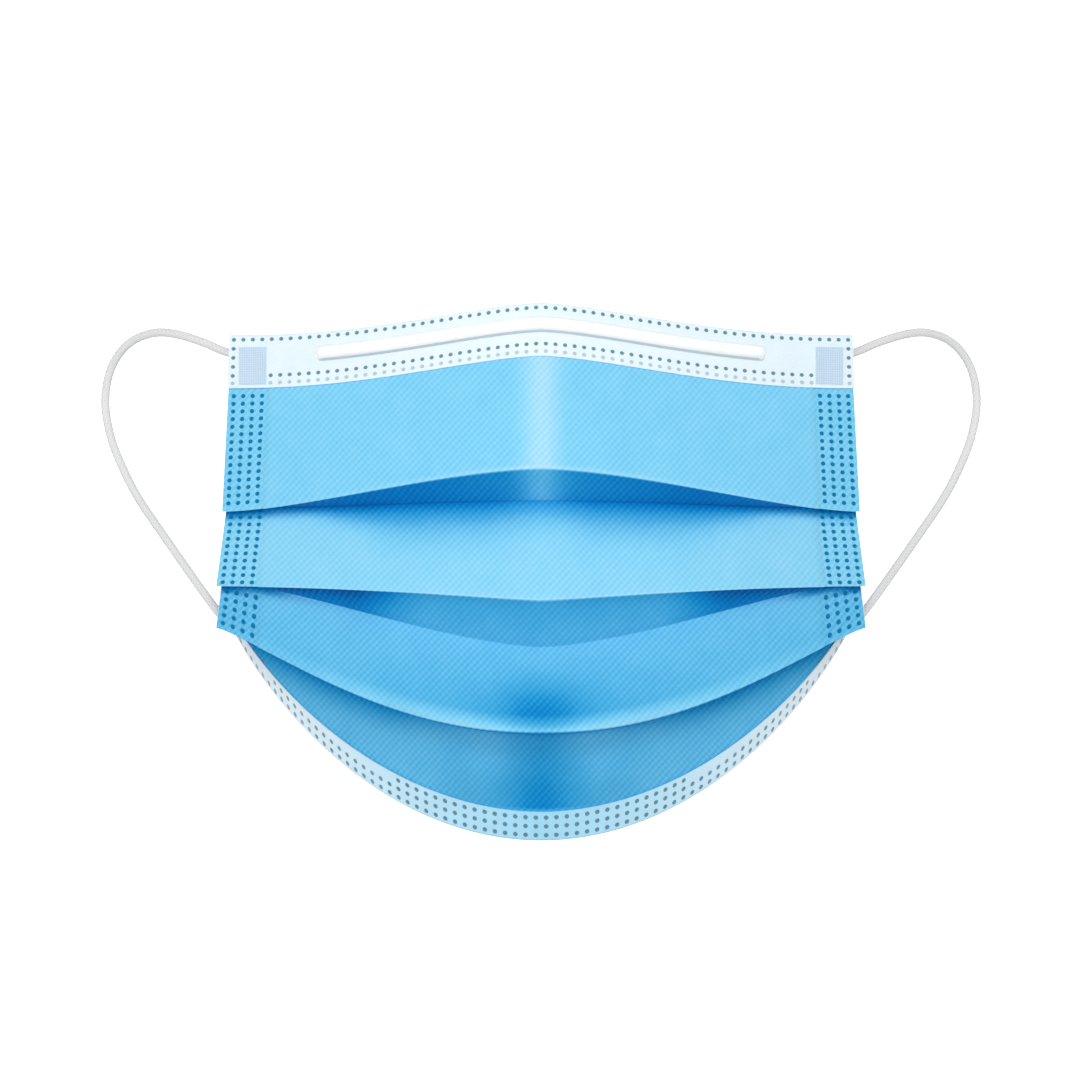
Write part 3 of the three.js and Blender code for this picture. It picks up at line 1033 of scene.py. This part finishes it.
# The flat size of such a grid.
def topHemFlat(xs, drops):
    return flatGrid(xs / maskShape["flatHalfWidth"],
                    np.broadcast_to(drops[:, None], (len(drops), len(xs))))


hemFace = bindingBuild["reach"] + bindingBuild["wall"] / 2

noseStrip = {
    "length": 114,
    "height": 3.2,
    "drop": 5.2,
    "rise": 0.8,
    "wall": 0.25,
    "roundness": 4,          # how square its section is; 2 is an ellipse
    "narrowest": 0.02,       # square of the least width at its tips, as a share of the height
    "crease": 0.7,           # height of the painted shadow line under the strip
    "shadowLineSteps": (0.15, 0.85, 1),
    "cells": 114,
    "rows": 12,
}


def makeNoseStrip(strip):
    half, tall = strip["length"] / 2, strip["height"] / 2
    xs = np.linspace(-half, half, strip["cells"] + 1)
    below = [1 + strip["crease"] / tall * share for share in strip["shadowLineSteps"]]
    ys = np.concatenate([np.linspace(-1, 1, strip["rows"] + 1), below])
    drops = strip["drop"] + ys * tall
    places, normals = topHemGrid(xs, drops, hemFace)
    bm = patternGrid(len(xs), len(ys))
    for vert in bm.verts:
        column, row = round(vert.co.x), round(-vert.co.y)
        past = max(abs(xs[column]) - (half - tall), 0) / tall
        narrow = math.sqrt(max(1 - past ** 2, strip["narrowest"]))
        inside = min(abs(ys[row]), 1)
        vert.co.z = strip["rise"] * math.sqrt(max(1 - max(inside, past) ** strip["roundness"], 0))
        wanted = np.clip(ys[row], -1, 1) * narrow + max(ys[row] - 1, 0)
        vert.co.y = -np.interp(wanted, ys, range(len(ys)))
    giveWall(bm, strip["wall"])
    # the painted shadow line, on the rows below the strip
    crease = np.broadcast_to(np.where(ys > 1, 1.0, 0.0)[:, None], (len(ys), len(xs)))
    foldPattern(bm, places, normals, topHemFlat(xs, drops), crease=crease)
    piece = linkMesh("nose_strip_cover", bm, [stripWhite, stripWhite])
    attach(piece, "root")
    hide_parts("nose_strip")


makeNoseStrip(noseStrip)

weldPad = {
    "width": 6.9,
    "height": 9.4,
    "inset": 2.6,
    "drop": 3.2,
    "wall": 0.3,
    "cells": (12, 16),
    "dimple": 0.08,
}


# Where the cells of a small patch lie at one end of the top hem: across, and drops below its edge.
def patchCells(patch, outer, side):
    xs = np.linspace(outer - patch["width"], outer, patch["cells"][0] + 1)
    drops = np.linspace(patch["drop"], patch["drop"] + patch["height"], patch["cells"][1] + 1)
    return xs if side > 0 else -xs[::-1], drops


def makeWeldPad(node, side):
    pad = weldPad
    outer = maskShape["halfWidth"] * maskLines[0]["width"] - pad["inset"]
    xs, drops = patchCells(pad, outer, side)
    places, normals = topHemGrid(xs, drops, hemFace + pad["wall"] / 2)
    bm = patternGrid(len(xs), len(drops))
    pressDots(bm, lambda column, row: 1, pad["dimple"])
    giveWall(bm, pad["wall"])
    foldPattern(bm, places, normals, topHemFlat(xs, drops))
    piece = linkMesh(node + "_film", bm, [filmBlue, filmBlue])
    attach(piece, "root")
    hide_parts(node)


makeWeldPad("weld_pad_left", -1)
makeWeldPad("weld_pad_right", 1)
print("nose strip and weld pads made")

# Patches at the back of the top hem, pressed over the ends of the ear loops.
loopPatch = {
    "width": 9,
    "height": 6.5,
    "drop": 3,
    "outer": 76.5,           # its outer end, from the middle of the mask
    "rise": 3.2,
    "bulge": (6, 4, 0.7),    # how square the bulge is across, down and from its rim to its top
    "wall": 0.3,
    "cells": (18, 14),
}


def makeLoopPatch(name, side):
    patch = loopPatch
    xs, drops = patchCells(patch, patch["outer"], side)
    places, normals = topHemGrid(xs, drops, -hemFace)
    bm = patternGrid(len(xs), len(drops))
    squareAcross, squareDown, rim = patch["bulge"]
    for vert in bm.verts:
        x = vert.co.x / (len(xs) - 1) * 2 - 1
        y = -vert.co.y / (len(drops) - 1) * 2 - 1
        vert.co.z = patch["rise"] * ((1 - x ** squareAcross) * (1 - y ** squareDown)) ** rim
    giveWall(bm, patch["wall"])
    foldPattern(bm, places, normals, topHemFlat(xs, drops))
    piece = linkMesh(name, bm, [bindingWhite, bindingWhite])
    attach(piece, "root")


makeLoopPatch("loop_patch_left", -1)
makeLoopPatch("loop_patch_right", 1)

# Studio: a pale sweep behind and below, a white sky and four soft lamps, in metres and watts.
studio = {
    "floor": -0.22,
    "front": 1.6,
    "back": 1.2,
    "bend": 0.5,
    "bendSteps": 16,
    "half": 2.2,
    "height": 1.8,
    "surface": {"Roughness": 0.9, "Base Color": (0.85, 0.85, 0.85, 1), "Emission Color": (1, 1, 1, 1)},
    "sky": 0.52,
}
lamps = [
    dict(name="softKey", place=(0.1, -1.5, 1.05), target=(0, 0, -0.05), size=0.9, power=10.3),
    dict(name="frontFill", place=(-0.4, -1.8, -0.6), target=(0, 0, -0.08), size=1.4, power=36),
    dict(name="leftFill", place=(-1.5, -0.4, -0.15), target=(0, 0, -0.06), size=0.6, power=3),
    dict(name="rightFill", place=(1.5, -0.4, -0.15), target=(0, 0, -0.06), size=0.6, power=3),
]


def makeSweepMaterial(surface):
    material, tree, shader = newMaterial("paleSweep", surface)
    seen = addNode(tree, "ShaderNodeLightPath").outputs["Is Camera Ray"]
    tree.links.new(seen, shader.inputs["Emission Strength"])
    # clear from behind and below, so that the mask is seen from every side
    behind = addNode(tree, "ShaderNodeNewGeometry").outputs["Backfacing"]
    tree.links.new(addMath(tree, "SUBTRACT", 1.0, behind), shader.inputs["Alpha"])
    return material


def makeStudio(room):
    bm = bmesh.new()
    start = bm.verts.new((-room["half"], -room["front"], room["floor"]))
    edge = bmesh.ops.extrude_vert_indiv(bm, verts=[start])
    bmesh.ops.translate(bm, vec=(2 * room["half"], 0, 0), verts=edge["verts"])
    made = bmesh.ops.extrude_edge_only(bm, edges=edge["edges"])["geom"]
    verts = [g for g in made if isinstance(g, bmesh.types.BMVert)]
    bmesh.ops.translate(bm, vec=(0, room["front"] + room["back"], 0), verts=verts)
    edges = [g for g in made if isinstance(g, bmesh.types.BMEdge) and set(g.verts) <= set(verts)]
    centre = (0, room["back"], room["floor"] + room["bend"])
    bent = bmesh.ops.spin(bm, geom=edges, cent=centre, axis=(1, 0, 0), angle=math.pi / 2,
                          steps=room["bendSteps"])
    lastEdges = [g for g in bent["geom_last"] if isinstance(g, bmesh.types.BMEdge)]
    made = bmesh.ops.extrude_edge_only(bm, edges=lastEdges)["geom"]
    verts = [g for g in made if isinstance(g, bmesh.types.BMVert)]
    bmesh.ops.translate(bm, vec=(0, 0, room["height"]), verts=verts)
    bmesh.ops.recalc_face_normals(bm, faces=bm.faces[:])
    if sum(face.normal.z for face in bm.faces) < 0:
        bmesh.ops.reverse_faces(bm, faces=bm.faces[:])
    linkMesh("studio_sweep", bm, [makeSweepMaterial(room["surface"])])


def addLamp(name, place, target, size, power):
    data = bpy.data.lights.new(name, "AREA")
    data.shape = "SQUARE"
    data.size = size
    data.energy = power
    lamp = bpy.data.objects.new(name, data)
    lamp.location = place
    lamp.rotation_euler = (Vector(target) - Vector(place)).to_track_quat("-Z", "Y").to_euler()
    bpy.context.scene.collection.objects.link(lamp)


def addSky(strength):
    world = bpy.data.worlds.new("whiteSky")
    bpy.context.scene.world = world
    world.use_nodes = True
    tree = world.node_tree
    background = tree.nodes["Background"]
    background.inputs["Color"].default_value = (1, 1, 1, 1)
    seen = addNode(tree, "ShaderNodeLightPath").outputs["Is Camera Ray"]
    # white to the camera, and dimmer as a light
    tree.links.new(addMath(tree, "MULTIPLY_ADD", seen, 1 - strength, strength),
                   background.inputs["Strength"])


makeStudio(studio)
for lamp in lamps:
    addLamp(**lamp)
addSky(studio["sky"])
bpy.context.scene.view_settings.view_transform = "Standard"
print("studio ready")
